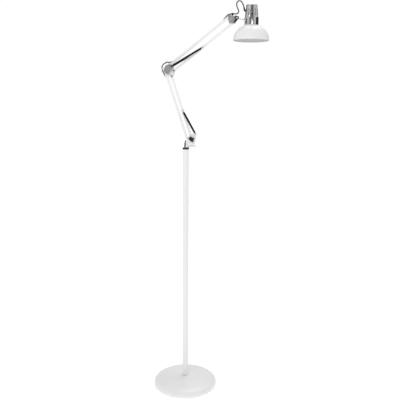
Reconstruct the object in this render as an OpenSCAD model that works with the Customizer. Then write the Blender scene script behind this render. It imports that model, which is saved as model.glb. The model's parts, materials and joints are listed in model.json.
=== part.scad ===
// Floor lamp with a sprung two-stage balanced arm.
// Z is up, X points from the pole towards the lamp head, and the front is -Y.
// The origin is on the floor, in the middle of the base.

/* [Base] */
// Diameter of the round base
base_d = 270; // [240:5:320]
// Height of the base where the pole stands on it
base_h = 39; // [34:1:44]
// Diameter of the pole
pole_d = 24; // [20:1:28]
// Height of the top of the pole above the floor
pole_top = 1024.5; // [800:0.5:1100]

/* [Arm] */
// Distance between the pivots of a lower bar
lower_len = 280.5; // [240:0.5:320]
// Angle of the lower bars above +X
lower_angle = 108.1; // [100:0.1:115]
// Distance between the pivots of an upper bar
upper_len = 301.5; // [280:0.5:340]
// Angle of the upper bars above +X
upper_angle = 38.6; // [30:0.1:45]
// Outer width of the square bars
bar_w = 10; // [9:0.5:11]

/* [Lamp head] */
// Outer diameter of the shade at its rim
shade_d = 142; // [130:1:160]
// Length of the stem, from the tilt pivot to the head's axis
stem_len = 58.2; // [56:0.1:62]
// Outer diameter of the vented cap at its foot
cap_d = 54; // [50:1:56]
// Outer diameter of the vented cap at its top
cap_top_d = 43; // [40:1:46]

/* [Cord] */
// Diameter of the lamp cord
cord_d = 5; // [4:0.5:5.5]

/* [Hidden] */
$fn = 48;

// Colours
white = "whitesmoke";
steel = "silver";
black = "#222222";
grey = "#8a8a8a";
brass = "#c9a24a";
nylon = "#f0f0ea";

// Layers across the arm, measured from its middle plane
half_w = bar_w / 2;
wall = 1;                    // bar wall
plate_gap = 6;               // inner face of the bracket and elbow plates
plate_t = 1.5;
plate_out = plate_gap + plate_t;
spring_y = 14;               // middle of each spring
pin_end = 18;                // outer end of the spring pins

// Pivots in the X-Z plane
function turned(a, r) = [r * cos(a), r * sin(a)];
function in_box(p) = [p[0], 0, p[1]];
swivel_left = [5, pole_top + 42];
swivel_right = swivel_left + turned(-38.1, 32.4);
elbow_left = swivel_left + turned(lower_angle, lower_len);
elbow_right = swivel_right + turned(lower_angle, lower_len);
elbow_top = elbow_left + [14.3, 20.7];
elbow_bottom = elbow_top + turned(-46.6, 27.5);
head_top = elbow_top + turned(upper_angle, upper_len);
head_bottom = elbow_bottom + turned(upper_angle, upper_len);
tilt = head_top + [28.4, -6.9];

// Spring ends
lower_ear = swivel_left + [33, 20.9];
lower_bolt_at = 137.7;       // along the right bar
lower_bolt = swivel_right + turned(lower_angle, lower_bolt_at);
upper_ear = elbow_top + [10.4, -2.4];
upper_bolt_at = 144.3;       // along the bottom bar
upper_bolt = elbow_bottom + turned(upper_angle, upper_bolt_at);
spring_r = 3.9;

// Fits
rivet_r = 2.5;
bush_in = rivet_r + 0.05;
bush_r = 3.9;
knob_screw_r = 3;
lower_knob_at = swivel_left + [17, -3.2];
lock_z = pole_top + 11.8;

// Head
head_x = tilt[0] + stem_len;
rim_r = shade_d / 2;
rim_z = tilt[1] - 83.2;
dome_h = 63.8;               // height of the full dome that the shade is cut from
cap_r = cap_d / 2;
cap_top_r = cap_top_d / 2;
cap_z = rim_z + dome_h * sqrt(1 - pow(cap_r / rim_r, 2));
cap_h = 76.2;
cap_straight = 27;           // height of the cap's straight foot
cap_t = 0.8;
shade_t = 1;
holder_r = 19;
shell_in = 13.35;
shell_len = 22;
shell_z = cap_z - 3;
slots = 12;
switch_az = -40;             // direction of the switch around the head axis
switch_z = cap_z + 14;

// ---- Shapes that repeat ----

// A cylinder across the arm at the pivot p, from y0 to y1
module across(p, y0, y1, r) {
  translate([p[0], y0, p[1]]) rotate([-90, 0, 0]) cylinder(r = r, h = y1 - y0);
}

// Extrudes a drawing in X-Z from y0 to y1
module slab(y0, y1) {
  translate([0, y1, 0]) rotate([90, 0, 0]) linear_extrude(y1 - y0) children();
}

// The outline round a list of pivots, r beyond each
module outline(points, r) {
  hull() for (p = points) translate(p) circle(r = r, $fn = 32);
}

module plate(points, y0, y1, bores, bore_r, r = 6) {
  difference() {
    slab(y0, y1) outline(points, r);
    for (p = bores) across(p, y0 - 1, y1 + 1, bore_r);
  }
}

// A rivet from one plate to the other with two low domed heads
module rivet(p) {
  across(p, -plate_out, plate_out, rivet_r);
  for (s = [-1, 1]) translate([p[0], s * plate_out, p[1]]) rotate([-90 * s, 0, 0]) rivet_head();
}

module rivet_head(r = 4.2, h = 1.8) {
  rotate_extrude() polygon(concat([[0, 0]], [for (i = [0:6]) [r * cos(15 * i), h * sin(15 * i)]]));
}

// A stadium outline from x = 0 to x = len
module stadium(len, r) {
  translate([0, -r]) square([len, 2 * r]);
  circle(r = r);
  translate([len, 0]) circle(r = r);
}

// A folded square bar with round ends, lying along its own X axis.
// cuts are [x0, x1, side] slots for the cord in the top (1) or bottom (-1) wall.
module bar(len, holes = [], cuts = [], open_end = false) {
  difference() {
    slab(-half_w, half_w) stadium(len, half_w);
    slab(-half_w + wall, half_w - wall) stadium(len, half_w - wall);
    for (x = [0, len]) across([x, 0], -half_w - 1, half_w + 1, bush_r);
    for (x = holes) across([x, 0], -half_w - 1, half_w + 1, rivet_r);
    for (c = cuts) {
      slab(-3.4, 3.4) polygon([[c[0], 0], [c[1], 0], [c[1], c[2] * bar_w], [c[0], c[2] * bar_w]]);
    }
    if (open_end) slab(-3.4, 3.4) polygon([[8, -3], [-bar_w, -3], [-bar_w, 7], [8, 7]]);
  }
}

module placed(p, angle) { translate(in_box(p)) rotate([0, -angle, 0]) children(); }

// Two flanged nylon bushes, one in each wall, at each pivot of a bar
module bushes(len) {
  for (x = [0, len], s = [-1, 1]) {
    translate([x, s * (half_w - wall), 0]) rotate([-90 * s, 0, 0]) difference() {
      union() {
        cylinder(r = bush_r, h = wall);
        translate([0, 0, wall]) cylinder(r = 4.6, h = plate_gap - half_w - 0.05);
      }
      translate([0, 0, -1]) cylinder(r = bush_in, h = 5);
    }
  }
}

// A spring pin standing outwards from y0, with a groove for the spring's hook
module spring_pin(p, y0, side) {
  translate([p[0], side * y0, p[1]]) rotate([-90 * side, 0, 0]) rotate_extrude() polygon([
    [0, 0], [2.5, 0], [2.5, spring_y - y0 - 1], [1.7, spring_y - y0 - 0.8],
    [1.7, spring_y - y0 + 0.8], [2.5, spring_y - y0 + 1], [2.5, pin_end - y0 - 1],
    [3.4, pin_end - y0 - 1], [3.4, pin_end - y0 - 0.3], [2.9, pin_end - y0], [0, pin_end - y0]]);
}

// The outer shape of a coil spring between the pins a and b
module spring(a, b, y) {
  d = b - a;
  translate([a[0], y, a[1]]) rotate([0, -atan2(d[1], d[0]), 0]) rotate([0, 90, 0])
    translate([0, 0, 4.2]) cylinder(r = spring_r, h = norm(d) - 8.4);
}

// ---- Cord ----
// Each route is a list of [x, y, z] points, and a smooth curve runs through them.
function curve_point(a, b, c, d, t) =
  0.5 * ((2 * b) + (c - a) * t + (2 * a - 5 * b + 4 * c - d) * t * t
  + (3 * b - a - 3 * c + d) * t * t * t);
function curve(route, steps) = let (n = len(route)) concat(
  [for (i = [0:n - 2], k = [0:steps - 1])
    curve_point(route[max(0, i - 1)], route[i], route[i + 1], route[min(n - 1, i + 2)], k / steps)],
  [route[n - 1]]);
function unit(v) = v / norm(v);
function along(path, i) = unit(path[min(len(path) - 1, i + 1)] - path[max(0, i - 1)]);

// A tube swept along a route that lies close to the arm's plane
module tube(route, d, steps = 2, sides = 10) {
  path = curve(route, steps);
  n = len(path);
  rings = [for (i = [0:n - 1]) let (
      t = along(path, i),
      u = unit(cross([0, 1, 0.01], t)),
      v = cross(t, u))
    for (k = [0:sides - 1]) path[i] + (u * cos(360 * k / sides) + v * sin(360 * k / sides)) * d / 2];
  faces = concat(
    [[for (k = [0:sides - 1]) k]],
    [[for (k = [0:sides - 1]) (n - 1) * sides + sides - 1 - k]],
    [for (i = [0:n - 2], k = [0:sides - 1]) let (a = i * sides + k, b = i * sides + (k + 1) % sides)
      [a, a + sides, b + sides, b]]);
  polyhedron(rings, faces, convexity = 8);
}

function near(p, x, z, y = 0) = [p[0] + x, y, p[1] + z];
function on_bar(p, angle, x, z, y = 0) = let (q = p + turned(angle, x) + turned(angle + 90, z))
  [q[0], y, q[1]];

// Down the pole's cap, past the front of the post and into the foot of the left bar
pole_end = [0, pole_top];
post_route = [
  near(pole_end, -4.6, -12.5, -5.8), near(pole_end, -4.6, -4.5, -5.6),
  near(pole_end, -4.5, 2.5, -7.3), near(pole_end, -4.2, 9, -9.7), near(pole_end, -3.6, 15.5, -10.8),
  near(pole_end, -3, 22, -10.2), near(pole_end, -2.8, 28, -7.1), near(pole_end, -0.9, 33.2, -3.2),
  near(pole_end, 2.4, 38, -0.8), on_bar(swivel_left, lower_angle, 3, 0.4),
  on_bar(swivel_left, lower_angle, 13, 0), on_bar(swivel_left, lower_angle, 25, 0)];
// Out of the left bar, up to the clip on the elbow
elbow_clip = elbow_left + [-12.9, 8.3];
lower_arm_route = [
  on_bar(elbow_left, lower_angle, -40, 0), on_bar(elbow_left, lower_angle, -30, 0.8),
  on_bar(elbow_left, lower_angle, -22, 3.4), on_bar(elbow_left, lower_angle, -13, 7.2),
  near(elbow_left, -9.3, -2.1), near(elbow_left, -11.5, 2.9), near(elbow_clip, 0, 0)];
// From the clip round the elbow and into the top bar
elbow_route = [
  near(elbow_clip, 0, 0.6), near(elbow_clip, -0.4, 5.6), near(elbow_clip, 1.4, 12.6),
  near(elbow_clip, 6.4, 19), near(elbow_clip, 14, 23.8), near(elbow_clip, 22.4, 26.6),
  on_bar(elbow_top, upper_angle, 7, 9.8), on_bar(elbow_top, upper_angle, 15, 6.6),
  on_bar(elbow_top, upper_angle, 24, 2.8), on_bar(elbow_top, upper_angle, 33, 0.6),
  on_bar(elbow_top, upper_angle, 44, 0)];
// Out of the top bar and over its pivot to the clip on the head bracket
head_clip = tilt + [-16.2, 17];
upper_arm_route = [
  on_bar(head_top, upper_angle, -48, 0), on_bar(head_top, upper_angle, -37, 0.4),
  on_bar(head_top, upper_angle, -28, 2.6), on_bar(head_top, upper_angle, -19, 6),
  near(head_clip, -20.6, -6.4), near(head_clip, -14.4, -2), near(head_clip, -7, -0.3),
  near(head_clip, 0, 0)];
// From that clip, in a tall loop, to the strain relief on the cap
head_route = [
  near(head_clip, 0.3, 0), near(head_clip, 7, 0.3), near(head_clip, 14, 0.3), near(head_clip, 20.4, 2.6),
  near(head_clip, 23.8, 8), near(head_clip, 22.8, 14.6), near(head_clip, 19.4, 22),
  near(head_clip, 16.2, 30), near(head_clip, 15.6, 38.4), near(head_clip, 19.2, 45.8),
  near(head_clip, 26.4, 49.2), near(head_clip, 33.8, 46), near(head_clip, 38.6, 39.2),
  near(head_clip, 41.6, 33.2), near(head_clip, 43.2, 28.5), near(head_clip, 44.2, 24.5)];

// ---- Base and pole ----

// Height of the cover's outer face at the radius r
function cover_z(r) = 7 + (base_h - 7) * pow(max(0, 1 - pow(2 * r / base_d, 2)), 0.38);
cover_t = 1.6;
function cover_angle(i, n) = 90 * i / n;

module base_pad() {
  color(black) cylinder(r = base_d / 2 - 5, h = 2, $fn = 96);
}

module base_weight() {
  color(grey) difference() {
    rotate_extrude($fn = 96) polygon([[6.6, 2], [base_d / 2 - 7, 2], [base_d / 2 - 7, 8],
      [base_d / 2 - 16, 15], [base_d / 2 - 40, 19], [30, 22], [6.6, 22]]);
    translate([0, 0, 1]) cylinder(r = 13, h = 8);
    translate([0, 100, 10]) rotate([-90, 0, 0]) cylinder(r = 6, h = 60);
  }
}

module base_cover() {
  n = 18;
  r0 = base_d / 2;
  outer = [for (i = [0:n]) let (r = r0 * cos(cover_angle(i, n) * 0.94)) [r, cover_z(r)]];
  inner = [for (i = [n:-1:0]) let (r = (r0 - cover_t) * cos(cover_angle(i, n) * 0.94))
    [r, cover_z(min(r0, r * r0 / (r0 - cover_t))) - cover_t]];
  color(white) difference() {
    rotate_extrude($fn = 120) polygon(concat(
      [[r0, 1]], outer, [[6.3, base_h]], [[6.3, base_h - cover_t]], inner, [[r0 - cover_t, 1]]));
    translate([0, base_d / 2 - 12, 10.5]) rotate([-90, 0, 0]) cylinder(r = 4.2, h = 30);
  }
}

module base_bolt() {
  color(steel) {
    translate([0, 0, 2.6]) cylinder(r = 9.2, h = 5.4, $fn = 6);
    translate([0, 0, 8]) cylinder(r = 12, h = 1);
    cylinder_from(9, base_h + 22, 6);
  }
}

module cylinder_from(z0, z1, r) { translate([0, 0, z0]) cylinder(r = r, h = z1 - z0); }

// The open hole that a mains lead leaves by, lined with rubber
module lead_grommet() {
  color(black) translate([0, base_d / 2 - 6.5, 10.5]) rotate([-90, 0, 0]) difference() {
    union() {
      cylinder(r = 4.2, h = 8);
      translate([0, 0, 6.9]) cylinder(r = 6, h = 1.6);
    }
    translate([0, 0, -1]) cylinder(r = 2.8, h = 12);
  }
}

module foot_ring() {
  color(nylon) difference() {
    cylinder_from(base_h, base_h + 2.2, pole_d / 2 + 1.4);
    cylinder_from(base_h - 1, base_h + 4, 6.4);
  }
}

pole_foot = base_h + 2.2;
module pole() {
  color(white) difference() {
    cylinder_from(pole_foot, pole_top, pole_d / 2);
    cylinder_from(pole_foot - 1, pole_top + 1, pole_d / 2 - 1.5);
  }
}

module pole_plug() {
  color(grey) difference() {
    cylinder_from(pole_foot, pole_foot + 25, pole_d / 2 - 1.5);
    cylinder_from(pole_foot - 1, pole_foot + 26, 6);
  }
}

// Plug in the top of the pole that holds the fixed spindle, with a way past it for the cord
spindle_r = 4.5;
module spindle_holder() {
  color(grey) difference() {
    cylinder_from(pole_top - 62, pole_top - 26, pole_d / 2 - 1.5);
    cylinder_from(pole_top - 63, pole_top, spindle_r);
    translate([-4.6, -6.2, 0]) cylinder_from(pole_top - 63, pole_top, 2.8);
  }
}
module swivel_spindle() {
  color(steel) cylinder_from(pole_top - 58, pole_top + 21.5, spindle_r);
}

// ---- Swivel and its bracket ----

collar_z1 = pole_top + 6.5;
module swivel_collar() {
  r = pole_d / 2;
  color(black) difference() {
    rotate_extrude() polygon([[spindle_r + 0.05, pole_top + 0.1], [r + 0.5, pole_top + 0.1],
      [r + 1.35, pole_top + 1], [r + 1.35, collar_z1 - 1.2], [r, collar_z1],
      [spindle_r + 0.05, collar_z1]]);
    translate([-4.6, -6.1, pole_top - 1]) rotate([20, 0, 0]) cylinder(r = 3, h = 14);
  }
}

post_r = 7.4;
post_top = pole_top + 25.5;
block_z = pole_top + 18.5;
module swivel_post() {
  color(white) difference() {
    union() {
      cylinder_from(collar_z1, post_top, post_r);
      // the block that the two bracket plates are welded to
      translate([-6, -plate_gap, block_z]) cube([17, 2 * plate_gap, post_top - block_z]);
      translate([0, 0, lock_z]) rotate([0, 90, 0]) cylinder(r = 4.6, h = 12);
    }
    cylinder_from(collar_z1 - 1, pole_top + 22, spindle_r + 0.05);
    // a groove down the front for the cord
    translate([-4.2, -10.6, collar_z1 - 1]) cylinder(r = 3.6, h = 30);
    // flats beside the plates
    for (s = [-1, 1]) translate([-20, s * (plate_gap + 10) - 10, block_z]) cube([40, 20, 20]);
    translate([0, 0, lock_z]) rotate([0, 90, 0]) cylinder(r = 2.5, h = 20);
  }
}

bracket_points = [swivel_left + [2.5, -18], swivel_right, lower_ear, swivel_left];
module bracket_plate(y0, y1) {
  color(white) difference() {
    plate(bracket_points, y0, y1, [swivel_left, swivel_right, lower_ear], rivet_r, 5.4);
    if (y0 < 0) across(lower_knob_at, y0 - 1, y1 + 1, knob_screw_r + 0.05);
  }
}
module bracket_front() { bracket_plate(-plate_out, -plate_gap); }
module bracket_rear() { bracket_plate(plate_gap, plate_out); }

// A through rivet on the right, and a short one in each plate on the left, which leave
// the middle of the left bar free for the cord
module bracket_rivets() {
  color(steel) {
    rivet(swivel_right);
    for (s = [-1, 1]) {
      across(swivel_left, s > 0 ? 3.3 : -plate_out, s > 0 ? plate_out : -3.3, rivet_r);
      translate([swivel_left[0], s * plate_out, swivel_left[1]]) rotate([-90 * s, 0, 0]) rivet_head();
    }
  }
}

module lower_spring_ears() {
  color(steel) for (s = [-1, 1]) spring_pin(lower_ear, plate_gap, s);
}

module lock_knob() {
  color(white) translate([19, 0, lock_z]) rotate([0, 90, 0]) difference() {
    union() {
      cylinder(r = 4.2, h = 4);
      translate([0, 0, 4]) cylinder(r = 5.1, h = 18);
      translate([0, 0, 22]) cylinder(r1 = 5.1, r2 = 3.8, h = 1.6);
    }
    for (k = [0:7]) rotate(45 * k + 22.5) translate([6.4, 0, 3.9]) cylinder(r = 1.8, h = 20, $fn = 24);
    translate([0, 0, -1]) cylinder(r = 2.5, h = 15);
  }
}

module lock_screw() {
  color(steel) translate([spindle_r + 0.2, 0, lock_z]) rotate([0, 90, 0])
    cylinder(r = 2.45, h = 14 + 19 - spindle_r - 0.2);
}

// Winged knob drawn round its own axis, out along +Z. Each lobe is a list of corners.
module wing_knob(h, lobes, r, bore) {
  difference() {
    union() {
      cylinder(r = 5.6, h = 3);
      translate([0, 0, 3]) linear_extrude(h - 3) {
        circle(r = 5.2, $fn = 32);
        for (points = lobes) outline(points, r);
      }
    }
    translate([0, 0, -1]) cylinder(r = knob_screw_r, h = bore + 1);
  }
}

module facing_front(p, y) { translate([p[0], y, p[1]]) rotate([90, 0, 0]) children(); }

lower_knob_lobes = [[[-9, 5], [-1.2, 11.8], [4.6, -7.2]], [[-9, 5], [9.4, 6.2], [4.6, -7.2]]];
module lower_knob() {
  color(black) facing_front(lower_knob_at, -plate_out - 0.4) wing_knob(11, lower_knob_lobes, 2.2, 7);
}

module lower_knob_screw() {
  color(steel) across(lower_knob_at, -plate_out - 7.3, -half_w - 0.15, knob_screw_r);
}

// ---- Lower arm ----

module lower_left_bar() {
  color(white) placed(swivel_left, lower_angle)
    bar(lower_len, [], [[lower_len - 32, lower_len - 10, 1]], true);
}
module lower_left_bushes() { color(nylon) placed(swivel_left, lower_angle) bushes(lower_len); }
module lower_right_bar() {
  color(white) placed(swivel_right, lower_angle) bar(lower_len, [lower_bolt_at]);
}
module lower_right_bushes() { color(nylon) placed(swivel_right, lower_angle) bushes(lower_len); }

module spring_bolt(p) {
  across(p, -half_w, half_w, rivet_r);
  for (s = [-1, 1]) spring_pin(p, half_w, s);
}
module lower_spring_bolt() { color(steel) spring_bolt(lower_bolt); }
module lower_spring_front() { color(black) spring(lower_ear, lower_bolt, -spring_y); }
module lower_spring_rear() { color(black) spring(lower_ear, lower_bolt, spring_y); }

// ---- Elbow ----

elbow_pivots = [elbow_left, elbow_right, elbow_bottom, elbow_top];
elbow_points = concat(elbow_pivots, [upper_ear]);
elbow_corner = elbow_left + [4, 15.6];
module elbow_front() {
  color(steel) plate(concat(elbow_points, [elbow_corner]), -plate_out, -plate_gap, elbow_points, rivet_r, 6);
}
module elbow_rear() {
  color(steel) plate(concat(elbow_points, [elbow_corner]), plate_gap, plate_out, elbow_points, rivet_r, 6);
}
module elbow_rivets() { color(steel) for (p = elbow_pivots) rivet(p); }
module upper_spring_ears() {
  color(steel) for (s = [-1, 1]) spring_pin(upper_ear, plate_gap, s);
}

// A white saddle held between the elbow plates, with an eye that grips the cord
clip_len = 6;
clip_bore = cord_d / 2 + 0.4;
module elbow_cord_clip() {
  c = elbow_clip;
  color(nylon) difference() {
    union() {
      placed(c, 99) translate([-clip_len / 2, 0, 0]) rotate([0, 90, 0]) cylinder(r = 4, h = clip_len);
      slab(-2, 2) polygon([c + [3, -2.8], c + [11, -1.2], c + [14.5, 1.6], c + [14.5, 7],
        c + [11, 6], c + [3, 2.8]]);
      across(c + [14.5, 3.6], -plate_gap, plate_gap, 3);
    }
    placed(c, 99) translate([-clip_len, 0, 0]) rotate([0, 90, 0]) cylinder(r = clip_bore, h = 2 * clip_len);
  }
}

// ---- Upper arm ----

module upper_top_bar() {
  color(white) placed(elbow_top, upper_angle)
    bar(upper_len, [], [[7, 31, 1], [upper_len - 34, upper_len - 6, 1]]);
}
module upper_top_bushes() { color(nylon) placed(elbow_top, upper_angle) bushes(upper_len); }
module upper_bottom_bar() {
  color(white) placed(elbow_bottom, upper_angle) bar(upper_len, [upper_bolt_at]);
}
module upper_bottom_bushes() { color(nylon) placed(elbow_bottom, upper_angle) bushes(upper_len); }
module upper_spring_bolt() { color(steel) spring_bolt(upper_bolt); }
module upper_spring_front() { color(black) spring(upper_ear, upper_bolt, -spring_y); }
module upper_spring_rear() { color(black) spring(upper_ear, upper_bolt, spring_y); }

// ---- Head bracket ----

head_points = [head_bottom, tilt, head_top, head_top + [5, -19]];
module head_plate(y0, y1) {
  color(steel) difference() {
    plate(head_points, y0, y1, [head_bottom, head_top], rivet_r, 6.2);
    across(tilt, y0 - 1, y1 + 1, knob_screw_r + 0.05);
  }
}
module head_bracket_front() { head_plate(-plate_out, -plate_gap); }
module head_bracket_rear() { head_plate(plate_gap, plate_out); }
module head_rivets() { color(steel) for (p = [head_top, head_bottom]) rivet(p); }

module head_cord_clip() {
  c = head_clip;
  color(black) difference() {
    union() {
      placed(c, 0) translate([-clip_len / 2, 0, 0]) rotate([0, 90, 0]) cylinder(r = 4, h = clip_len);
      slab(-2, 2) polygon([c + [-2.4, -3], c + [-2.4, -10.6], c + [2.4, -12.4], c + [2.4, -3]]);
      across(c + [0, -11.6], -plate_gap, plate_gap, 2.6);
    }
    placed(c, 0) translate([-clip_len, 0, 0]) rotate([0, 90, 0]) cylinder(r = clip_bore, h = 2 * clip_len);
  }
}

head_knob_lobes = [[[-4.6, 6], [6.2, 2.4]], [[6.2, 2.4], [-8.8, -14]]];
module head_knob() {
  color(black) facing_front(tilt, -plate_out - 0.4) wing_knob(12, head_knob_lobes, 2.6, 13);
}
module head_knob_screw() {
  color(steel) across(tilt, -plate_out - 13.2, plate_out + 8, knob_screw_r);
}
module head_knob_nut() {
  color(steel) translate([tilt[0], plate_out + 0.1, tilt[1]]) rotate([-90, 0, 0]) difference() {
    cylinder(r = 5.6, h = 5, $fn = 6);
    translate([0, 0, -1]) cylinder(r = knob_screw_r, h = 8);
  }
}

// ---- Lamp head ----

stem_end = [head_x - cap_r + 0.4, tilt[1] - 3];
stem_angle = atan2(stem_end[1] - tilt[1], stem_end[0] - tilt[0]);
module head_stem() {
  color(steel) difference() {
    union() {
      across(tilt, -plate_gap + 0.1, plate_gap - 0.1, 6.4);
      placed(tilt, stem_angle) rotate([0, 90, 0]) cylinder(r = 2.9, h = norm(stem_end - tilt) + 0.6);
      // a washer plate on the cap's wall, and the nut behind it
      translate([head_x - cap_r - 1.6, 0, stem_end[1]]) rotate([0, 90, 0]) cylinder(r = 5, h = 1.6);
    }
    across(tilt, -10, 10, knob_screw_r + 0.05);
  }
}

function dome_at(r, rr, hh) = hh * sqrt(max(0, 1 - pow(r / rr, 2)));
shade_hole_r = 20.2;
module shade() {
  n = 20;
  top_a = acos(shade_hole_r / rim_r);
  outer = [for (i = [0:n]) let (a = top_a * i / n) [rim_r * cos(a), rim_z + dome_h * sin(a)]];
  ri = rim_r - shade_t;
  hi = dome_h - shade_t;
  top_b = acos(shade_hole_r / ri);
  inner = [for (i = [n:-1:0]) let (a = top_b * i / n) [ri * cos(a), rim_z + hi * sin(a)]];
  color(white) rotate_about_head() rotate_extrude($fn = 96) polygon(concat(outer, inner));
}
module rotate_about_head() { translate([head_x, 0, 0]) children(); }

// Radius of the cap's outer face at the height z above its foot
function cap_at(z) = z <= cap_straight ? cap_r
  : cap_r - (cap_r - cap_top_r) * pow((z - cap_straight) / (cap_h - cap_straight), 0.85);
module shade_cap() {
  n = 10;
  z_up = cap_h - 3;
  outer = [for (i = [0:n]) let (z = cap_straight + (z_up - cap_straight) * i / n) [cap_at(z), cap_z + z]];
  inner = [for (i = [n:-1:0]) let (z = cap_straight + (z_up - cap_straight) * i / n)
    [cap_at(z) - cap_t, cap_z + z]];
  rt = cap_at(z_up);
  edge = [for (i = [1:4]) [rt - 3 + 3 * cos(22.5 * i), cap_z + z_up + 3 * sin(22.5 * i)]];
  edge_in = [for (i = [4:-1:1])
    [rt - 3 + (3 - cap_t) * cos(22.5 * i), cap_z + z_up + (3 - cap_t) * sin(22.5 * i)]];
  color(steel) rotate_about_head() difference() {
    rotate_extrude($fn = 72) polygon(concat([[cap_r, cap_z + 0.4]], outer, edge,
      [[0, cap_z + cap_h], [0, cap_z + cap_h - cap_t]], edge_in, inner, [[cap_r - cap_t, cap_z + 0.4]]));
    for (k = [0:slots - 1]) rotate(30 * k - 90) {
      vent(cap_z + 34.7, 14.5);
      vent(cap_z + 52.2, 6);
    }
    for (k = [0:5]) rotate(60 * k) translate([11, 0, cap_z + cap_h - 2]) cylinder(r = 2.5, h = 4);
    // openings for the switch and the strain relief
    rotate(switch_az) translate([cap_r - 8, -5, switch_z - 11]) cube([16, 10, 22]);
    translate([-cap_r - 2, 0, relief_z]) rotate([0, 90, 0]) cylinder(r = 3.2, h = 12);
    translate([-cap_r - 2, 0, stem_end[1]]) rotate([0, 90, 0]) cylinder(r = 2.9, h = 12);
  }
}

// A round-ended upright slot, len tall from z
module vent(z, len) {
  w = 4.6;
  translate([15, -w / 2, z + w / 2]) cube([20, w, max(0.1, len - w)]);
  for (zz = [z + w / 2, z + len - w / 2]) translate([15, 0, zz]) rotate([0, 90, 0]) cylinder(r = w / 2, h = 20);
}

// Threaded ring that clamps the shade against the holder's shoulder
module shade_ring() {
  color(nylon) rotate_about_head() difference() {
    cylinder_from(cap_z - 7, cap_z - 1.2, 23.5);
    cylinder_from(cap_z - 8, cap_z + 1, holder_r);
  }
}

module lamp_holder() {
  color(black) rotate_about_head() difference() {
    union() {
      cylinder_from(cap_z - 7, cap_z + 38, holder_r);
      cylinder_from(cap_z + 4, cap_z + 6, 24.4);
      cylinder_from(cap_z + 38, cap_z + 44, 12);
    }
    cylinder_from(cap_z - 8, shell_z + shell_len + 1, shell_in + 0.75);
    // room for the switch in the flange
    rotate(switch_az) translate([holder_r + 0.4, -5.6, cap_z + 3]) cube([9, 11.2, 4]);
  }
}

module screw_shell() {
  color(brass) rotate_about_head() difference() {
    cylinder_from(shell_z, shell_z + shell_len + 1, shell_in + 0.75);
    cylinder_from(shell_z - 1, shell_z + shell_len, shell_in);
  }
}

// Elbowed rubber gland: a sleeve that the cord enters and a stub through the cap's wall
relief_z = cap_z + 53.2;
relief_wall = head_x - cap_at(relief_z - cap_z);
relief_tip = head_clip + [44.3, 24.2];
module strain_relief() {
  bend = [relief_wall - 3.75, relief_z];
  d = relief_tip - bend;
  color(black) {
    translate([bend[0], 0, bend[1]]) rotate([0, 90, 0]) cylinder(r = 3.15, h = 9);
    translate([relief_wall - 1.5, 0, relief_z]) rotate([0, 90, 0]) cylinder(r = 4.4, h = 1.1);
    translate([bend[0], 0, bend[1]]) sphere(r = 3.5);
    placed(bend, atan2(d[1], d[0])) rotate([0, 90, 0]) cylinder(r1 = 3.5, r2 = 3.1, h = norm(d));
  }
}

// Rocker switch in a black frame on the side of the cap
switch_r = cap_r + 2.1;
module switch_frame() { rotate_about_head() rotate(switch_az) translate([0, 0, switch_z]) children(); }
module switch_body() {
  color(black) switch_frame() difference() {
    union() {
      translate([switch_r - 8.3, -4.9, -10.9]) cube([7, 9.8, 21.8]);
      // the flange, curved behind to lie on the cap
      difference() {
        translate([switch_r - 4, -6, -13]) cube([4, 12, 26]);
        cylinder(r = cap_r + 0.03, h = 30, center = true);
      }
    }
    translate([switch_r - 6, -4.2, -9.6]) cube([8, 8.4, 19.2]);
    translate([switch_r - 2.4, 0, 0]) rotate([90, 0, 0]) cylinder(r = 1.05, h = 9.6, center = true);
  }
}
module switch_rocker() {
  color(black) switch_frame() rotate([90, 0, 0]) {
    translate([0, 0, -4]) linear_extrude(8)
      polygon([[switch_r - 4.2, -1], [switch_r - 0.6, -8.8], [switch_r + 1.6, -8.4],
        [switch_r + 0.5, 0], [switch_r - 0.5, 8.4], [switch_r - 2, 8.8], [switch_r - 4.2, 1]]);
    translate([switch_r - 2.4, 0, 0]) cylinder(r = 1, h = 9.4, center = true);
  }
}

module cord_post() { color(grey) tube(post_route, cord_d, 1); }
module cord_lower_arm() { color(grey) tube(lower_arm_route, cord_d, 1); }
module cord_elbow() { color(grey) tube(elbow_route, cord_d); }
module cord_upper_arm() { color(grey) tube(upper_arm_route, cord_d, 1); }
module cord_head() { color(grey) tube(head_route, cord_d); }

base_pad();
base_weight();
base_cover();
base_bolt();
lead_grommet();
foot_ring();
pole();
pole_plug();
spindle_holder();
swivel_spindle();
swivel_collar();
swivel_post();
bracket_front();
bracket_rear();
bracket_rivets();
lower_spring_ears();
lock_knob();
lock_screw();
lower_knob();
lower_knob_screw();
lower_left_bar();
lower_left_bushes();
lower_right_bar();
lower_right_bushes();
lower_spring_bolt();
lower_spring_front();
lower_spring_rear();
elbow_front();
elbow_rear();
elbow_rivets();
upper_spring_ears();
elbow_cord_clip();
upper_top_bar();
upper_top_bushes();
upper_bottom_bar();
upper_bottom_bushes();
upper_spring_bolt();
upper_spring_front();
upper_spring_rear();
head_bracket_front();
head_bracket_rear();
head_rivets();
head_cord_clip();
head_knob();
head_knob_screw();
head_knob_nut();
head_stem();
shade();
shade_cap();
shade_ring();
lamp_holder();
screw_shell();
strain_relief();
switch_body();
switch_rocker();
cord_post();
cord_lower_arm();
cord_elbow();
cord_upper_arm();
cord_head();
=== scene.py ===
"""Looks of the balanced-arm floor lamp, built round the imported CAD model.

Lengths are in metres in the row frame: Z up, X from the pole to the head, the front at -Y.
"""

import json
import math

import bmesh
import bpy
from mathutils import Matrix, Vector


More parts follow.
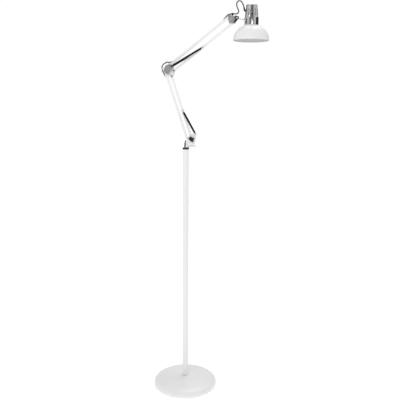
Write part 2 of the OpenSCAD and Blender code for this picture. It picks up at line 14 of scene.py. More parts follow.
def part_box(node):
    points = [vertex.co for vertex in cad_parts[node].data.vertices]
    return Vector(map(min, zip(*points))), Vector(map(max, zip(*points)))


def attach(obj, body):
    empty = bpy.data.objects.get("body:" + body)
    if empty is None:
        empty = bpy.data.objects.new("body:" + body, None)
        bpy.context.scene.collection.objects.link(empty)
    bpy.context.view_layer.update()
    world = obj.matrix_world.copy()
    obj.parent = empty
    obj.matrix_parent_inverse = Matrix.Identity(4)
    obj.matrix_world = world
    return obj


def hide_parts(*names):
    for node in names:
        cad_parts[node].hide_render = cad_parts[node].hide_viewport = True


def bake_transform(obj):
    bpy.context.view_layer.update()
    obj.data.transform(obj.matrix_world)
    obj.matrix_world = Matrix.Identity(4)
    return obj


MM = 0.001

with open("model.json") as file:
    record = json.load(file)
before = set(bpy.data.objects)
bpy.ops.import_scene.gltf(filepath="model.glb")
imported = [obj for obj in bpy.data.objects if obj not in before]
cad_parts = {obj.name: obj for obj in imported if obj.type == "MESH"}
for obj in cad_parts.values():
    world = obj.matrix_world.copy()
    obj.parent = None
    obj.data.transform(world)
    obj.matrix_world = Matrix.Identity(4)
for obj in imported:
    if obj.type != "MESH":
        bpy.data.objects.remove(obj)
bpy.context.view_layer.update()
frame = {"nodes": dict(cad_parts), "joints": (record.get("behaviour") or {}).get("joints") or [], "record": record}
joints = {j["name"]: Vector(j["pos_m"]) for j in frame["joints"]}


# ---------------------------------------------------------------- places from the frame

def centre(node):
    """The middle of a CAD node's box."""
    lo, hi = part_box(node)
    return (lo + hi) / 2


def direction(a, b):
    """The unit vector from a to b, in the arm's plane."""
    d = Vector((b.x - a.x, 0, b.z - a.z))
    return d.normalized()


def along_bar(pivot, far, x, z=0.0):
    """The point x mm along the bar from its pivot, and z mm to its upper side."""
    u = direction(pivot, far)
    up = Vector((-u.z, 0, u.x))
    return Vector((pivot.x, 0, pivot.z)) + (u * x + up * z) * MM


def off(p, x, z, y=0.0):
    """The point x and z mm from p, and y mm in front of (-) or behind the arm's plane."""
    return Vector((p.x + x * MM, y * MM, p.z + z * MM))


# ---------------------------------------------------------------- material nodes

class Surface:
    """A node material whose finish is built up a layer at a time.

    Scales are those of the noise nodes, in metres of the object."""

    def __init__(self, name, colour, roughness, metallic=0.0, **sockets):
        self.name = name
        self.material = bpy.data.materials.new("look_" + name)
        self.material.use_nodes = True
        self.nodes = self.material.node_tree.nodes
        self.links = self.material.node_tree.links
        self.shader = self.nodes["Principled BSDF"]
        self.colour = colour
        self.roughness = roughness
        self.shader.inputs["Base Color"].default_value = (*colour, 1)
        self.shader.inputs["Roughness"].default_value = roughness
        self.shader.inputs["Metallic"].default_value = metallic
        for socket, value in sockets.items():
            self.shader.inputs[socket.replace("_", " ")].default_value = value
        self.material.diffuse_color = (*colour, 1)

    def noise(self, scale, detail, stretch=(1, 1, 1)):
        place = self.nodes.new("ShaderNodeTexCoord")
        mapping = self.nodes.new("ShaderNodeMapping")
        mapping.inputs["Scale"].default_value = stretch
        self.links.new(place.outputs["Object"], mapping.inputs["Vector"])
        noise = self.nodes.new("ShaderNodeTexNoise")
        noise.inputs["Scale"].default_value = scale
        noise.inputs["Detail"].default_value = detail
        self.links.new(mapping.outputs["Vector"], noise.inputs["Vector"])
        return noise.outputs["Fac"]

    def mottle(self, scale, amount):
        """Lets the colour drift lighter and darker by a share of itself."""
        ramp = self.nodes.new("ShaderNodeValToRGB")
        dark = [max(0, c * (1 - amount)) for c in self.colour]
        light = [min(1, c * (1 + amount)) for c in self.colour]
        ramp.color_ramp.elements[0].position = 0.3
        ramp.color_ramp.elements[0].color = (*dark, 1)
        ramp.color_ramp.elements[1].position = 0.7
        ramp.color_ramp.elements[1].color = (*light, 1)
        self.links.new(self.noise(scale, 4.0), ramp.inputs["Fac"])
        self.links.new(ramp.outputs["Color"], self.shader.inputs["Base Color"])
        return self

    def polish(self, scale, spread):
        """Lets the roughness vary either side of its value."""
        span = self.nodes.new("ShaderNodeMapRange")
        span.inputs["From Min"].default_value = 0.3
        span.inputs["From Max"].default_value = 0.7
        span.inputs["To Min"].default_value = max(0.02, self.roughness - spread)
        span.inputs["To Max"].default_value = min(1.0, self.roughness + spread)
        self.links.new(self.noise(scale, 3.0), span.inputs["Value"])
        self.links.new(span.outputs["Result"], self.shader.inputs["Roughness"])
        return self

    def texture(self, *layers):
        """Adds bumps: each layer is (scale, strength, depth in mm, stretch)."""
        normal = None
        for scale, strength, depth, stretch in layers:
            bump = self.nodes.new("ShaderNodeBump")
            bump.inputs["Strength"].default_value = strength
            bump.inputs["Distance"].default_value = depth * MM
            self.links.new(self.noise(scale, 2.0, stretch), bump.inputs["Height"])
            if normal:
                self.links.new(normal, bump.inputs["Normal"])
            normal = bump.outputs["Normal"]
        self.links.new(normal, self.shader.inputs["Normal"])
        return self

    def paint_reflection(self, start, end, colour):
        """Paints a reflection: lets the colour turn into a lighter one from the point start to the point end."""
        along = end - start
        place = self.nodes.new("ShaderNodeTexCoord")
        dot = self.nodes.new("ShaderNodeVectorMath")
        dot.operation = "DOT_PRODUCT"
        dot.inputs[1].default_value = along
        span = self.nodes.new("ShaderNodeMapRange")
        span.interpolation_type = "SMOOTHSTEP"
        span.inputs["From Min"].default_value = start.dot(along)
        span.inputs["From Max"].default_value = end.dot(along)
        mix = self.nodes.new("ShaderNodeMix")
        mix.data_type = "RGBA"
        mix.inputs[7].default_value = (*colour, 1)
        base = self.shader.inputs["Base Color"]
        self.links.new(place.outputs["Object"], dot.inputs[0])
        self.links.new(dot.outputs["Value"], span.inputs["Value"])
        self.links.new(span.outputs["Result"], mix.inputs[0])
        self.links.new(base.links[0].from_socket, mix.inputs[6])
        self.links.new(mix.outputs[2], base)
        return self


# How a pattern of bumps is stretched: not at all, or into lines up the cap
EVEN = (1, 1, 1)
DRAWN = (1, 1, 0.04)
# A painted reflection on the lower right of the elbow plate: how far from its middle the painted light is full, in
# mm, and its colour
ELBOW_PAINTED_REFLECTION_AT = Vector((9, 0, -7))
ELBOW_PAINTED_REFLECTION = (0.8, 0.8, 0.8)


def zinc(name):
    """The dull zinc plating of the arm's plates."""
    surface = Surface(name, (0.36, 0.36, 0.365), 0.38, 1.0)
    return surface.mottle(120, 0.1).polish(90, 0.08).texture((420, 0.1, 0.04, EVEN))


def make_materials():
    """The finishes by name: those of the record's slots, and a few that only some parts have, among them a painted
    shade inside the lampshade and a painted reflection on the elbow plate.
    """
    powder = Surface("white_paint", (0.875, 0.875, 0.873), 0.4, Coat_Weight=0.2, Coat_Roughness=0.25)
    powder.mottle(9, 0.015).polish(40, 0.05)
    powder.texture((700, 0.03, 0.012, EVEN), (2600, 0.03, 0.006, EVEN))

    # The lampshade's inside: the white paint made greyer, as painted shade
    inside = Surface("shade_inside_painted_shade", (0.62, 0.62, 0.615), 0.5)
    inside.mottle(20, 0.02).polish(40, 0.05).texture((700, 0.03, 0.012, EVEN))

    chrome = Surface("chrome", (0.72, 0.72, 0.73), 0.16, 1.0)
    chrome.mottle(26, 0.02).polish(60, 0.02).texture((1500, 0.01, 0.004, DRAWN))

    plate = zinc("zinc_plate")
    to_plate = frame["nodes"]["elbow_front"].matrix_world.inverted()
    middle = centre("elbow_front")
    # The elbow plates' zinc with a painted reflection: lighter towards the lower right
    elbow = zinc("elbow_plate_painted_reflection")
    elbow.paint_reflection(to_plate @ middle, to_plate @ (middle + ELBOW_PAINTED_REFLECTION_AT * MM), ELBOW_PAINTED_REFLECTION)

    steel = Surface("steel", (0.6, 0.6, 0.61), 0.3, 1.0)
    steel.mottle(180, 0.1).polish(120, 0.08).texture((500, 0.06, 0.02, EVEN))

    plastic = Surface("black_plastic", (0.009, 0.009, 0.0095), 0.45, Specular_IOR_Level=0.3)
    plastic.mottle(60, 0.2).polish(70, 0.07).texture((1900, 0.15, 0.02, EVEN))

    spring = Surface("spring_black", (0.008, 0.008, 0.0085), 0.5, Specular_IOR_Level=0.2)
    spring.mottle(90, 0.25).polish(160, 0.08).texture((1400, 0.08, 0.02, EVEN))

    pvc = Surface("cord_grey", (0.115, 0.115, 0.12), 0.5)
    pvc.mottle(40, 0.05).polish(60, 0.06).texture((900, 0.12, 0.03, EVEN))

    nylon = Surface("nylon", (0.74, 0.74, 0.72), 0.45)
    nylon.mottle(30, 0.03).polish(50, 0.06).texture((1500, 0.08, 0.02, EVEN))

    rubber = Surface("rubber", (0.016, 0.016, 0.017), 0.7)
    rubber.mottle(50, 0.15).polish(60, 0.08).texture((800, 0.3, 0.05, EVEN))

    iron = Surface("cast_iron", (0.09, 0.088, 0.085), 0.7, 0.6)
    iron.mottle(70, 0.3).polish(60, 0.12).texture((260, 0.5, 0.3, EVEN))

    brass = Surface("brass", (0.62, 0.47, 0.22), 0.27, 1.0)
    brass.mottle(60, 0.08).polish(90, 0.08).texture((900, 0.06, 0.02, EVEN))

    made = (powder, inside, chrome, plate, elbow, steel, plastic, spring, pvc, nylon, rubber, iron, brass)
    return {s.name: s.material for s in made}


materials = make_materials()

# ---------------------------------------------------------------- CAD parts that keep their shape

record_slot = {part["node"]: part["material_slot"] for part in frame["record"]["subparts"]}
# Parts whose finish isn't the one named like their slot; the elbow plates' finish carries a painted reflection
OTHER_FINISH = {
    "elbow_front": "elbow_plate_painted_reflection", "elbow_rear": "elbow_plate_painted_reflection",
    "head_bracket_front": "zinc_plate", "head_bracket_rear": "zinc_plate",
    "elbow_rivets": "zinc_plate", "head_rivets": "zinc_plate",
    "bracket_rivets": "white_paint", "upper_spring_ears": "spring_black",
}
# CAD nodes that a finer piece of this script stands in for
REPLACED = ("base_cover", "shade", "screw_shell", "strain_relief")
REPLACED_KINDS = ("cord_", "lower_spring_front", "lower_spring_rear",
                  "upper_spring_front", "upper_spring_rear")
# How far an edge is rounded, in mm, and where it isn't so
USUAL_EDGE = 0.25
EDGE = {
    "lower_left_bar": 0.9, "lower_right_bar": 0.9, "upper_top_bar": 0.9, "upper_bottom_bar": 0.9,
    "lower_knob": 0.9, "head_knob": 1.0, "lock_knob": 0.5, "swivel_post": 0.5,
    "bracket_front": 0.45, "bracket_rear": 0.45, "elbow_front": 0.4, "elbow_rear": 0.4,
    "head_bracket_front": 0.4, "head_bracket_rear": 0.4, "elbow_cord_clip": 0.6,
    "head_cord_clip": 0.6, "lead_grommet": 0.5, "base_weight": 1.0,
    "shade_cap": 0.2, "pole": 0.4,
}


def soften(obj, width):
    """Joins the facets of a CAD mesh, rounds its edges and shades it smooth."""
    for name in ("custom_normal", "sharp_edge", "sharp_face"):
        if name in obj.data.attributes:
            obj.data.attributes.remove(obj.data.attributes[name])
    obj.data.polygons.foreach_set("use_smooth", [True] * len(obj.data.polygons))
    weld = obj.modifiers.new("weld", "WELD")
    weld.merge_threshold = 2e-6
    flat = obj.modifiers.new("flat", "DECIMATE")
    flat.decimate_type = "DISSOLVE"
    flat.angle_limit = math.radians(0.4)
    bevel = obj.modifiers.new("edges", "BEVEL")
    bevel.width = width * MM
    bevel.segments = 3
    bevel.limit_method = "ANGLE"
    bevel.angle_limit = math.radians(32)
    bevel.use_clamp_overlap = True
    bevel.harden_normals = True


def finish_with(obj, material):
    """Gives a piece one material."""
    obj.data.materials.clear()
    obj.data.materials.append(materials[material])
    return obj


def dress_cad():
    """Rounds and finishes every CAD node that nothing replaces."""
    for name, obj in frame["nodes"].items():
        if name in REPLACED or name.startswith(REPLACED_KINDS):
            continue
        soften(obj, EDGE.get(name, USUAL_EDGE))
        finish_with(obj, OTHER_FINISH.get(name, record_slot[name]))


# ---------------------------------------------------------------- mesh makers

def mesh_object(name, verts, faces, smooth=True):
    """A new object, with doubled points joined and faces turned outwards."""
    mesh = bpy.data.meshes.new(name)
    mesh.from_pydata([tuple(v) for v in verts], [], faces)
    mesh.validate()
    bm = bmesh.new()
    bm.from_mesh(mesh)
    bmesh.ops.remove_doubles(bm, verts=bm.verts, dist=1e-7)
    bmesh.ops.recalc_face_normals(bm, faces=bm.faces)
    bm.to_mesh(mesh)
    bm.free()
    if smooth:
        mesh.polygons.foreach_set("use_smooth", [True] * len(mesh.polygons))
    obj = bpy.data.objects.new(name, mesh)
    bpy.context.scene.collection.objects.link(obj)
    return obj


def lathe(name, outline, about, segments=160):
    """Turns an outline of (radius, height) points about the upright line through about."""
    n = len(outline)
    verts, faces = [], []
    for k in range(segments):
        a = 2 * math.pi * k / segments
        for r, z in outline:
            verts.append((about.x + r * math.cos(a), about.y + r * math.sin(a), z))
    for k in range(segments):
        m = (k + 1) % segments
        for i in range(n):
            j = (i + 1) % n
            faces.append((k * n + i, m * n + i, m * n + j, k * n + j))
    return mesh_object(name, verts, faces)


def curve_through(points, steps):
    """A smooth line through the points, steps to each stretch."""
    path = []
    last = len(points) - 1
    for i in range(last):
        a, b, c, d = (points[max(0, i - 1)], points[i], points[i + 1], points[min(last, i + 2)])
        for k in range(steps):
            t = k / steps
            path.append(0.5 * (2 * b + (c - a) * t + (2 * a - 5 * b + 4 * c - d) * t * t
                               + (3 * b - a - 3 * c + d) * t ** 3))
    path.append(points[last])
    return path


def sweep(name, path, radius, sides=16):
    """A round tube along a path, with rounded ends, whose rings turn as little as they can.

    radius is one number, or one for each point."""
    radii = radius if isinstance(radius, list) else [radius] * len(path)
    tangents = [(path[min(len(path) - 1, i + 1)] - path[max(0, i - 1)]).normalized()
                for i in range(len(path))]
    u = tangents[0].cross(Vector((0.01, 1, 0.02))).normalized()
    rings = []
    for i, (p, t) in enumerate(zip(path, tangents)):
        u = (u - t * u.dot(t)).normalized()
        v = t.cross(u)
        caps = [(1.0, 0.0)]
        if i == 0:
            caps = [(0.7, -0.16), (0.92, -0.08), (1.0, 0.0)]
        elif i == len(path) - 1:
            caps = [(1.0, 0.0), (0.92, 0.08), (0.7, 0.16)]
        for size, shift in caps:
            middle = p + t * radii[i] * shift
            rings.append([middle + (u * math.cos(2 * math.pi * k / sides)
                                    + v * math.sin(2 * math.pi * k / sides)) * radii[i] * size
                          for k in range(sides)])
    verts = [v for ring in rings for v in ring]
    faces = [tuple(range(sides)), tuple((len(rings) - 1) * sides + k for k in range(sides))]
    for i in range(len(rings) - 1):
        for k in range(sides):
            a, b = i * sides + k, i * sides + (k + 1) % sides
            faces.append((a, a + sides, b + sides, b))
    return mesh_object(name, verts, faces)


def cut_away(obj, cutter):
    """Takes the cutter out of obj for good."""
    boolean = obj.modifiers.new("cut", "BOOLEAN")
    boolean.operation = "DIFFERENCE"
    boolean.solver = "EXACT"
    boolean.object = cutter
    apply_modifiers(obj)
    bpy.data.objects.remove(cutter)


def apply_modifiers(obj):
    """Makes what the modifiers do to obj its own mesh."""
    graph = bpy.context.evaluated_depsgraph_get()
    mesh = bpy.data.meshes.new_from_object(obj.evaluated_get(graph))
    obj.modifiers.clear()
    obj.data = mesh


def rod_between(name, a, b, radius, sides=32):
    """A plain rod from a to b, for cutting."""
    return sweep(name, [a, a + (b - a) * 0.5, b], radius, sides)


# ---------------------------------------------------------------- camera and light

CAMERA_AT = Vector((0.0591, -2.2131, 1.2176))
CAMERA_DOWN = math.radians(10.30)
CAMERA_ROLL = math.radians(0.44)
CAMERA_LENS = 49.0

WORLD_LIGHT = 0.6
BACKGROUND = 1.02
FLOOR_HALF = 30
FLOOR_DROP = 0.0002
# How far the mirrored cards stand from the head, and their height; the window card is nearer and smaller
CARD_AWAY, CARD_HEIGHT = 2.6, 1.5
WINDOW_AWAY, WINDOW_SIZE = 2.2, (0.6, 0.3)


def make_camera():
    """A camera at the photograph's place, tipped down and rolled a little."""
    forward = Vector((0, math.cos(CAMERA_DOWN), -math.sin(CAMERA_DOWN)))
    up = Vector((0, math.sin(CAMERA_DOWN), math.cos(CAMERA_DOWN)))
    right = Vector((1, 0, 0))
    x = right * math.cos(CAMERA_ROLL) + up * math.sin(CAMERA_ROLL)
    y = up * math.cos(CAMERA_ROLL) - right * math.sin(CAMERA_ROLL)
    data = bpy.data.cameras.new("camera")
    data.lens, data.sensor_width = CAMERA_LENS, 36.0
    data.clip_start, data.clip_end = 0.05, 60
    camera = bpy.data.objects.new("camera", data)
    bpy.context.scene.collection.objects.link(camera)
    place = Matrix((x, y, -forward)).transposed().to_4x4()
    place.translation = CAMERA_AT
    camera.matrix_world = place
    bpy.context.scene.camera = camera


def plain(name, colour, strength=None):
    """A flat matt finish for the studio, or a glowing one."""
    mat = bpy.data.materials.new(name)
    mat.use_nodes = True
    shader = mat.node_tree.nodes["Principled BSDF"]
    shader.inputs["Base Color"].default_value = (*colour, 1)
    shader.inputs["Roughness"].default_value = 1.0
    shader.inputs["Specular IOR Level"].default_value = 0.0
    if strength is not None:
        shader.inputs["Emission Color"].default_value = (*colour, 1)
        shader.inputs["Emission Strength"].default_value = strength
    return mat


def card(name, middle, size, normal, material):
    """A flat studio card that only shiny surfaces see."""
    w, h = size[0] / 2, size[1] / 2
    obj = mesh_object(name, [(-w, -h, 0), (w, -h, 0), (w, h, 0), (-w, h, 0)], [(0, 1, 2, 3)], False)
    obj.matrix_world = Matrix.Translation(middle) @ normal.to_track_quat("Z", "Y").to_matrix().to_4x4()
    obj.data.materials.append(material)
    obj.visible_camera = obj.visible_diffuse = obj.visible_shadow = False
    obj.visible_transmission = obj.visible_volume_scatter = False


def area_light(name, at, aim, size, power):
    """A square soft light, out of the camera's sight."""
    data = bpy.data.lights.new(name, "AREA")
    data.shape, data.size, data.energy = "SQUARE", size, power
    light = bpy.data.objects.new(name, data)
    bpy.context.scene.collection.objects.link(light)
    light.matrix_world = (Matrix.Translation(at)
                          @ (aim - at).to_track_quat("-Z", "Y").to_matrix().to_4x4())
    light.visible_camera = False


def make_world():
    """Even white light all round, behind a background that shows as plain white."""
    world = bpy.data.worlds.new("world")
    bpy.context.scene.world = world
    world.use_nodes = True
    nodes, links = world.node_tree.nodes, world.node_tree.links
    light = nodes["Background"]
    light.inputs["Color"].default_value = (1, 1, 1, 1)
    light.inputs["Strength"].default_value = WORLD_LIGHT
    seen = nodes.new("ShaderNodeBackground")
    seen.inputs["Color"].default_value = (1, 1, 1, 1)
    seen.inputs["Strength"].default_value = BACKGROUND
    path = nodes.new("ShaderNodeLightPath")
    mix = nodes.new("ShaderNodeMixShader")
    links.new(path.outputs["Is Camera Ray"], mix.inputs["Fac"])
    links.new(light.outputs["Background"], mix.inputs[1])
    links.new(seen.outputs["Background"], mix.inputs[2])
    links.new(mix.outputs["Shader"], nodes["World Output"].inputs["Surface"])


def round_point(middle, azimuth, distance, height):
    """The point at that distance round from middle, where azimuth 0 is in front, at a height."""
    a = math.radians(azimuth)
    return Vector((middle.x + distance * math.sin(a), middle.y - distance * math.cos(a), height))


def make_studio():
    """White floor and surroundings, two soft lights, and cards for the plated metal to mirror."""
    make_world()
    h = FLOOR_HALF
    floor = mesh_object("floor", [(-h, -h, 0), (h, -h, 0), (h, h, 0), (-h, h, 0)], [(0, 1, 2, 3)], False)
    floor.location.z = -FLOOR_DROP
    floor.data.materials.append(plain("floor_white", (0.35, 0.35, 0.35), 2.36))

    head = centre("shade_cap")
    area_light("key", Vector((-1.1, -2.7, 2.6)), Vector((0.05, 0, 0.9)), 2.0, 21)
    area_light("top", Vector((0.5, 0.9, 3.6)), Vector((0.1, 0, 0.3)), 1.8, 32)

    dark = plain("card_dark", (0.02, 0.02, 0.02), 5.0)
    bright = plain("card_bright", (1, 1, 1), 2.2)
    for name, azimuth, width, z in (("card_front", -7, 3.8, 2.47), ("card_left", -146, 1.5, 1.6),
                                    ("card_right", 146, 1.5, 1.6)):
        at = round_point(head, azimuth, CARD_AWAY, z)
        card(name, at, (width, CARD_HEIGHT), Vector((head.x - at.x, head.y - at.y, 0)), dark)
    at = round_point(head, 6, WINDOW_AWAY, head.z + 0.3)
    card("card_window", at, WINDOW_SIZE, head - at, bright)

    scene = bpy.context.scene
    scene.view_settings.view_transform = "Standard"
    scene.view_settings.look = "None"


# ---------------------------------------------------------------- cords

CORD = 5.0
# The cords' clips, in mm from the elbow's pivot and from the head's tilt axis
ELBOW_CLIP = (-12.9, 8.3)
HEAD_CLIP = (-16.2, 17)


def cord_routes():
    """Each stretch of the lamp's cord: the bodies it joins, its points, and where it bends.

    The points are those of the CAD routes. It bends from one numbered point to another."""
    top = Vector((0, 0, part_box("pole")[1].z))
    sl, el = joints["lower_arm"], joints["elbow_pivot"]
    e3, h3, tilt = joints["upper_arm"], joints["head_bracket_pivot"], joints["head_tilt"]
    elbow, head = off(el, *ELBOW_CLIP), off(tilt, *HEAD_CLIP)

    def low_bar(x, z):
        return along_bar(sl, el, x, z)

    def from_elbow(x, z):
        return el + (low_bar(x, z) - Vector((sl.x, 0, sl.z)))

    def up_bar(x, z):
        return along_bar(e3, h3, x, z)

    def from_head(x, z):
        return h3 + (up_bar(x, z) - Vector((e3.x, 0, e3.z)))

    return {
        "cord_post": ("swivel", "lower_left_arm", [
            off(top, -4.6, -12.5, -5.8), off(top, -4.6, -4.5, -5.6), off(top, -4.5, 2.5, -7.3),
            off(top, -4.2, 9, -9.7), off(top, -3.6, 15.5, -10.8), off(top, -3, 22, -10.2),
            off(top, -2.8, 28, -7.1), off(top, -0.9, 33.2, -3.2), off(top, 2.4, 38, -0.8),
            low_bar(3, 0.4), low_bar(13, 0), low_bar(25, 0)], 7, 10),
        "cord_lower_arm": ("lower_left_arm", "elbow", [
            from_elbow(-40, 0), from_elbow(-30, 0.8), from_elbow(-22, 3.4), from_elbow(-13, 7.2),
            off(el, -9.3, -2.1), off(el, -11.5, 2.9), off(elbow, 0, 0)], 3, 6),
        "cord_elbow": ("elbow", "upper_top_arm", [
            off(elbow, 0, 0.6), off(elbow, -0.4, 5.6), off(elbow, 1.4, 12.6), off(elbow, 6.4, 19),
            off(elbow, 14, 23.8), off(elbow, 22.4, 26.6), up_bar(7, 9.8), up_bar(15, 6.6),
            up_bar(24, 2.8), up_bar(33, 0.6), up_bar(44, 0)], 1, 8),
        "cord_upper_arm": ("upper_top_arm", "head_bracket", [
            from_head(-48, 0), from_head(-37, 0.4), from_head(-28, 2.6), from_head(-19, 6),
            off(head, -20.6, -6.4), off(head, -14.4, -2), off(head, -7, -0.3), off(head, 0, 0)], 3, 7),
        "cord_head": ("head_bracket", "head", [
            off(head, 0.3, 0), off(head, 7, 0.3), off(head, 14, 0.3), off(head, 20.4, 2.6),
            off(head, 23.8, 8), off(head, 22.8, 14.6), off(head, 19.4, 22), off(head, 16.2, 30),
            off(head, 15.6, 38.4), off(head, 19.2, 45.8), off(head, 26.4, 49.2),
            off(head, 33.8, 46), off(head, 38.6, 39.2), off(head, 41.6, 33.2), off(head, 43.2, 28.5),
            off(head, 44.2, 24.5)], 2, 14),
    }


def make_cords():
    """The five stretches of cord, each a smooth tube along its route. The loops at the elbow and the head hang
    free on the lamp.
    """
    for name, (a, b, points, first, last) in cord_routes().items():
        path = curve_through(points, 6)
        tube = sweep(name + "_flex", path, CORD / 2 * MM, 16)
        finish_with(tube, "cord_grey")
        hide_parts(name)
        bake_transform(tube)


# ---------------------------------------------------------------- springs

# All in mm: a hook goes round its pin, and the coil starts a little way along
WIRE = 1.6
COIL_PITCH = 1.65
PIN_RADIUS = 1.75
COIL_FROM_PIN = 6.2
PER_TURN = 14


def spring_path(a, b, y):
    """A close-wound coil from the pin a to the pin b with a hook round each."""
    length = (b - a).length / MM
    u = direction(a, b)
    w = Vector((-u.z, 0, u.x))
    side = Vector((0, 1, 0))
    lo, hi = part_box("lower_spring_front")
    coil = (hi.y - lo.y) / 2 / MM - WIRE / 2
    hook = PIN_RADIUS + WIRE / 2
    body_start, body_end = COIL_FROM_PIN, length - COIL_FROM_PIN
    turns = round((body_end - body_start) / COIL_PITCH)
    origin = Vector((a.x, y * MM, a.z))

    def at(x, s, t):
        return origin + (u * x + w * s + side * t) * MM

    def end_hook(sign, x_pin, x_coil):
        """From the far side of the pin, round it, and in to the coil's first turn."""
        points = []
        for k in range(11):
            angle = math.radians(-60 + 24 * k)
            points.append(at(x_pin - sign * hook * math.cos(angle), hook * math.sin(angle), 0))
        points.append(at(x_coil - sign * 1.6, 0.8, coil * 0.25))
        points.append(at(x_coil - sign * 0.7, coil * 0.5, coil * 0.62))
        return points

    steps = turns * PER_TURN
    helix = []
    for i in range(steps + 1):
        angle = 2 * math.pi * i / PER_TURN + math.pi / 2
        helix.append(at(body_start + (body_end - body_start) * i / steps,
                        coil * math.cos(angle), coil * math.sin(angle)))
    head = curve_through(end_hook(1, 0, body_start), 2)
    tail = curve_through(end_hook(-1, length, body_end), 2)
    return head + helix + tail[::-1]


def make_springs():
    """Two coil springs to each arm, each a straight coil from its ear to its bolt.

    bend_share, how much of a spring's length from its ear would take up the arm's turn, is not used."""
    for arm, fixed, moving, ear_node, bolt_node, bend_share in (
            ("lower", "swivel", "lower_right_arm", "lower_spring_ears", "lower_spring_bolt", 0.7),
            ("upper", "elbow", "upper_bottom_arm", "upper_spring_ears", "upper_spring_bolt", 0.35)):
        ear, bolt = centre(ear_node), centre(bolt_node)
        for end in ("front", "rear"):
            node = f"{arm}_spring_{end}"
            y = centre(node).y / MM
            coil = sweep(node + "_coil", spring_path(ear, bolt, y), WIRE / 2 * MM, 8)
            finish_with(coil, "spring_black")
            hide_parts(node)
            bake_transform(coil)


# ---------------------------------------------------------------- base, shade and lamp holder

def make_base():
    """The spun cover: a shallow dome with a full round shoulder and a turned-in lip."""
    lo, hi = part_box("base_cover")
    radius, top = (hi.x - lo.x) / 2, hi.z
    foot, thick, hole = 7 * MM, 1.4 * MM, 6.5 * MM
    rise = top - foot

    def face(r):
        return foot + rise * max(0.0, 1 - (r / radius) ** 2) ** 0.38

    n = 40
    radii = [radius * math.cos(math.radians(88) * i / n) for i in range(n + 1)]
    outer = [(r, face(r)) for r in radii] + [(hole, top)]
    inner = [(max(hole, r - thick), max(1.2 * MM, z - thick)) for r, z in reversed(outer)]
    lip = [(radius - thick, 1.4 * MM), (radius - 0.7 * thick, 1.0 * MM), (radius - 0.25 * thick, 1.0 * MM),
           (radius, 1.5 * MM)]
    cover = lathe("base_shell", outer + inner + lip, Vector((0, 0, 0)), 180)
    grommet = centre("lead_grommet")
    cut_away(cover, rod_between("bore", Vector((0, grommet.y - 0.03, grommet.z)),
                                Vector((0, grommet.y + 0.03, grommet.z)), 4.2 * MM))
    finish_with(cover, "white_paint")
    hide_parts("base_cover")
    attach(cover, "stand")


def make_shade():
    """The spun shade, with a rolled bead round its rim and an inside painted greyer as painted shade."""
    lo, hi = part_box("shade")
    about = Vector(((lo.x + hi.x) / 2, 0, 0))
    radius, rim = (hi.x - lo.x) / 2, lo.z
    hole, thick = 20.2 * MM, 1.0 * MM
    height = (hi.z - lo.z) / math.sqrt(1 - (hole / radius) ** 2)
    stop = math.acos(hole / radius)
    n = 36
    bead = 1.25 * MM

    def dome(across, up, order):
        return [(across * math.cos(stop * i / n), rim + up * math.sin(stop * i / n)) for i in order]

    outer = dome(radius, height, range(2, n + 1))
    inner = dome(radius - thick, height - thick, range(n, 1, -1))
    rolled = [(radius - bead + bead * math.cos(a), rim + bead + bead * math.sin(a))
              for a in (math.radians(200 + 20 * k) for k in range(10))]
    shell = lathe("shade_shell", outer + inner + rolled, about, 160)
    finish_with(shell, "white_paint")
    shell.data.materials.append(materials["shade_inside_painted_shade"])
    # Faces that look inwards or downwards take the painted shade
    for face in shell.data.polygons:
        away = Vector((face.center.x - about.x, face.center.y, 0)).normalized()
        if face.normal.dot(away) < -0.05 or face.normal.z < -0.4:
            face.material_index = 1
    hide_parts("shade")
    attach(shell, "head")


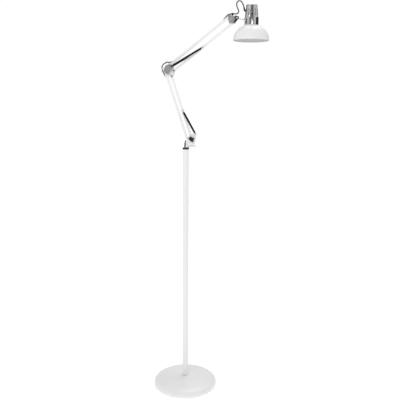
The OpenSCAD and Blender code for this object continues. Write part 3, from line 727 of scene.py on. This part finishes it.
def make_socket():
    """The threaded shell of the lamp holder, and the seat and contact at its top."""
    lo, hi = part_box("screw_shell")
    about = centre("screw_shell")
    pitch, depth, mean = 3.62 * MM, 0.34 * MM, (hi.x - lo.x) / 2 - 0.4 * MM
    rows, sides = 72, 72
    top = hi.z - 1.2 * MM
    verts, faces = [], []
    for i in range(rows + 1):
        z = lo.z + (top - lo.z) * i / rows
        for k in range(sides):
            a = 2 * math.pi * k / sides
            fade = min(1.0, i / 6)
            r = mean + depth * fade * math.sin(2 * math.pi * z / pitch - a)
            verts.append((about.x + r * math.cos(a), about.y + r * math.sin(a), z))
    for i in range(rows):
        for k in range(sides):
            m = (k + 1) % sides
            faces.append((i * sides + k, i * sides + m, (i + 1) * sides + m, (i + 1) * sides + k))
    shell = mesh_object("socket_thread", verts, faces)
    wall = shell.modifiers.new("wall", "SOLIDIFY")
    wall.thickness = 0.3 * MM
    wall.offset = 0
    apply_modifiers(shell)
    finish_with(shell, "brass")
    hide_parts("screw_shell")
    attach(shell, "head")

    base = top - 0.2 * MM
    seat = lathe("socket_seat", [(0.05 * MM, base - 3 * MM), (4 * MM, base - 3 * MM),
                                 (5 * MM, base - 2.4 * MM), (6 * MM, base), (mean, base),
                                 (mean, base + MM), (0.05 * MM, base + MM)], about, 64)
    finish_with(seat, "black_plastic")
    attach(seat, "head")
    contact = lathe("socket_contact", [(0.05 * MM, base - 5.2 * MM), (1.6 * MM, base - 5.1 * MM),
                                       (2.8 * MM, base - 4.4 * MM), (3.2 * MM, base - 2.8 * MM),
                                       (0.05 * MM, base - 2.8 * MM)], about, 48)
    finish_with(contact, "brass")
    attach(contact, "head")


def make_relief():
    """The cord's ribbed gland, which stands up beside the cap from a stub through its wall."""
    lo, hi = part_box("strain_relief")
    foot = Vector((hi.x - 9 * MM, 0, lo.z + 4.4 * MM))
    tip = cord_routes()["cord_head"][2][-1]
    path, radii = [], []
    ribs, per_rib = 5, 6
    steps = ribs * per_rib
    for i in range(steps + 1):
        t = i / steps
        path.append(foot.lerp(tip, t))
        groove = 0.42 if i % per_rib in (0, per_rib - 1) and 0 < i < steps else 0.0
        radii.append((3.5 - 0.4 * t - groove) * MM)
    gland = sweep("cord_gland", path, radii, 28)
    stub = lathe("cord_gland_stub", [(r * MM, x * MM) for r, x in (
        (0.1, 0), (3.4, 0), (3.8, 0.5), (3.8, 2.2), (4.6, 2.5), (4.6, 3.3), (3.15, 3.6), (3.15, 9),
        (0.1, 9))], Vector((0, 0, 0)), 40)
    stub.data.transform(Matrix.Translation(foot) @ Matrix.Rotation(math.radians(90), 4, "Y"))
    for piece in (gland, stub):
        finish_with(piece, "rubber")
        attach(piece, "head")
    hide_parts("strain_relief")


make_camera()
make_studio()
make_cords()
make_springs()
dress_cad()
make_base()
make_shade()
make_socket()
make_relief()
